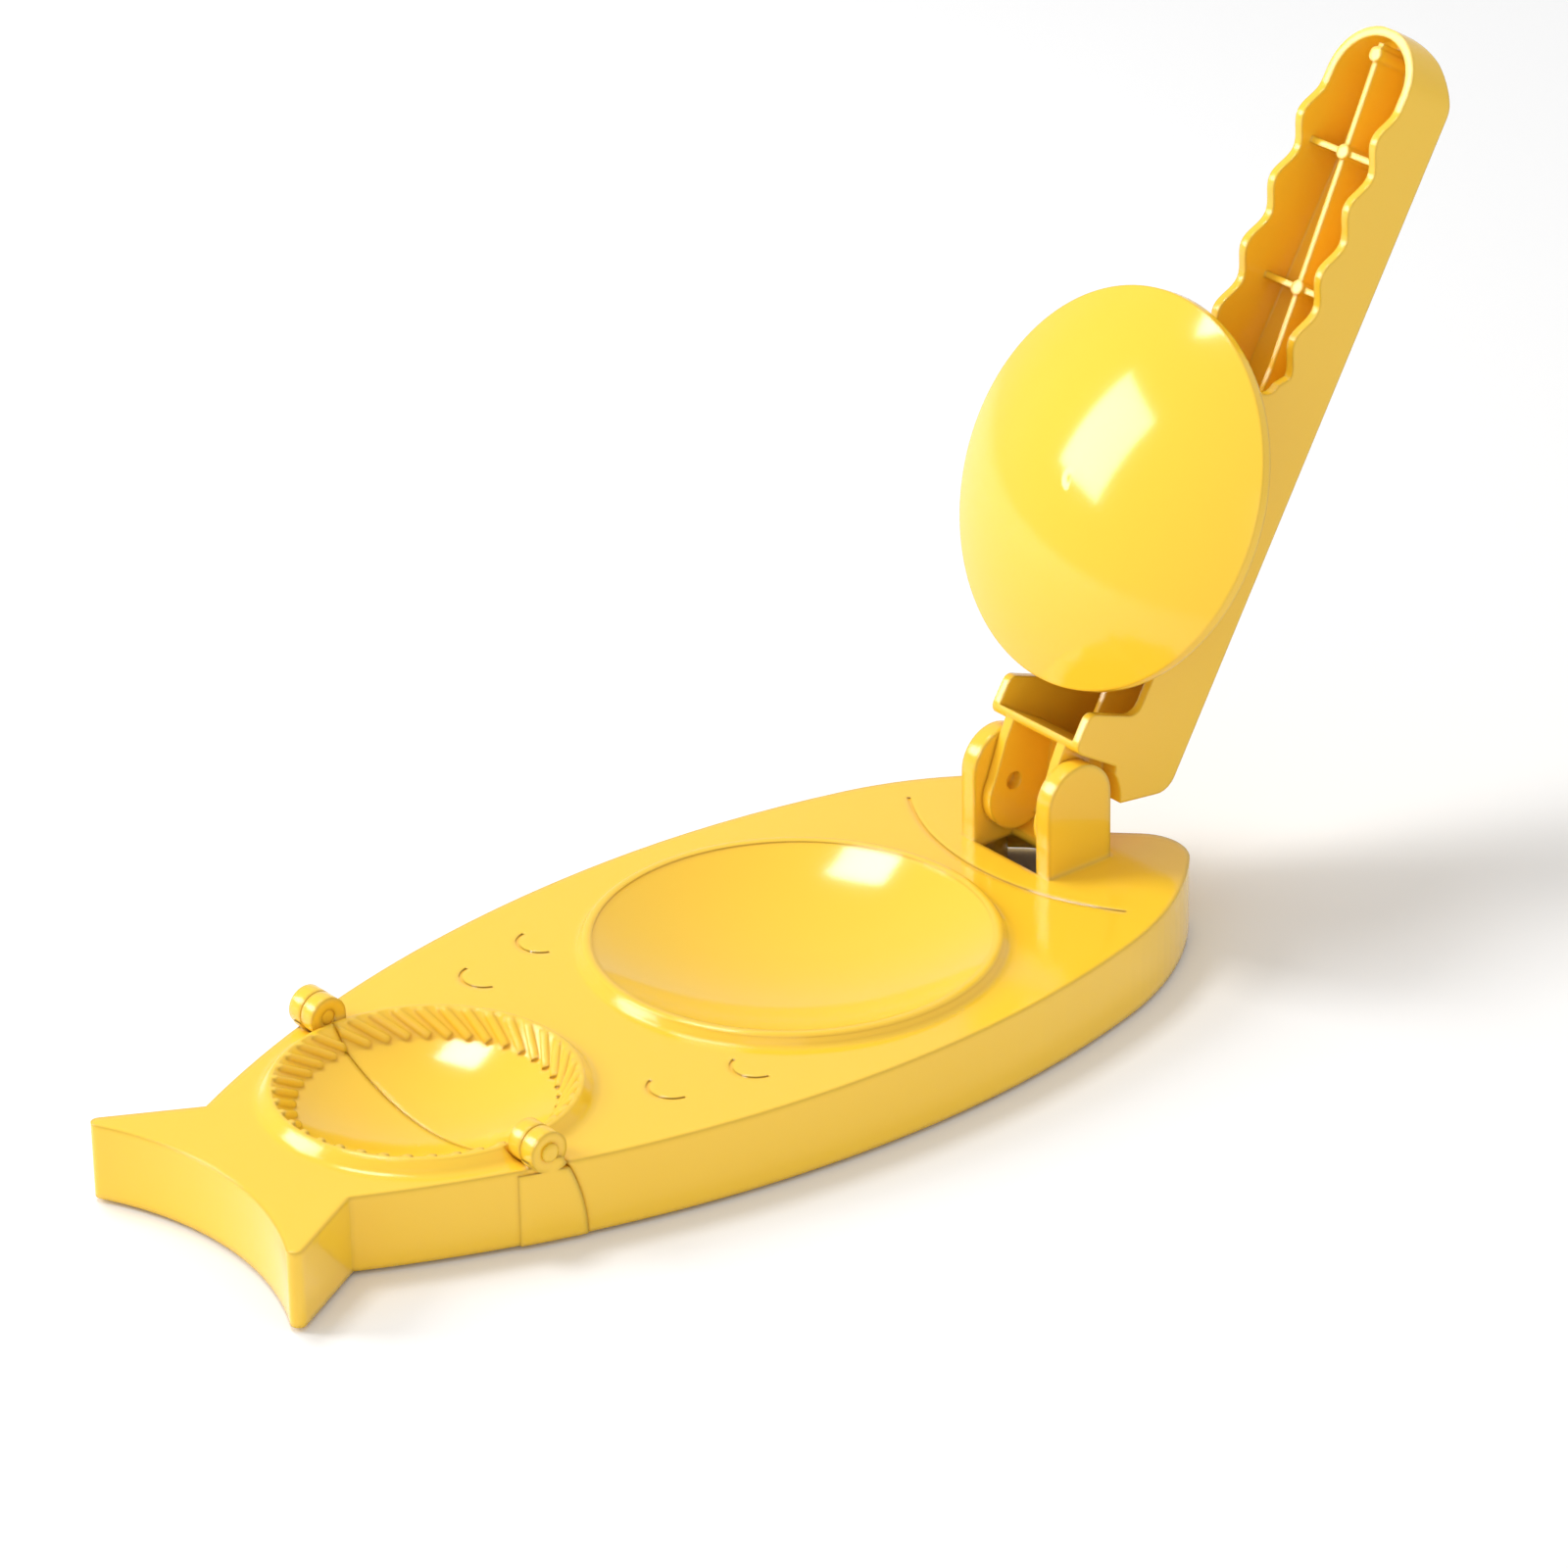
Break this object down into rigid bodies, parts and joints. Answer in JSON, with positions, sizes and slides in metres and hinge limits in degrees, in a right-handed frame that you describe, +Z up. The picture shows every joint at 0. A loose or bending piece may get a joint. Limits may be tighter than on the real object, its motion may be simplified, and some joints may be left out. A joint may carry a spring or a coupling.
{
  "type": "dumpling press",
  "caption": "Fish-shaped dumpling press: a round dish with a hinged lever press in the body, and a toothed crimping mould that folds shut with the tail",
  "frame": {"origin": "On the floor plane, under the middle of the bounding box as stored, with the arm open and the tail flat; the dish centre is at X = -0.01269 m", "axes": "+X from the tail to the head, +Z up, Y across"},
  "size_m": [0.3828, 0.127, 0.2066],
  "materials": {
    "yellow_plastic": "smooth glossy moulded plastic",
    "screw_steel": "plain steel",
    "foot_rubber": "matte"
  },
  "bodies": {
    "base": {"body_shell": "yellow_plastic", "foot_head_left": "foot_rubber", "foot_head_right": "foot_rubber", "foot_mid_left": "foot_rubber", "foot_mid_right": "foot_rubber"},
    "tail": {"tail_shell": "yellow_plastic", "tail_pin_left": "yellow_plastic", "tail_pin_right": "yellow_plastic", "foot_fin_left": "foot_rubber", "foot_fin_right": "foot_rubber"},
    "arm": {"press_arm": "yellow_plastic", "press_dome": "yellow_plastic", "dome_screws": "screw_steel"}
  },
  "joints": [
    {"name": "arm_hinge", "type": "hinge", "parent": "base", "child": "arm", "pos_m": [0.06541, 0, 0.0356], "axis": [0, -1, 0], "range_deg": [0, 115.5]},
    {"name": "tail_fold", "type": "hinge", "parent": "base", "child": "tail", "pos_m": [-0.12359, 0, 0.0246], "axis": [0, 1, 0], "range_deg": [0, 180]}
  ]
}
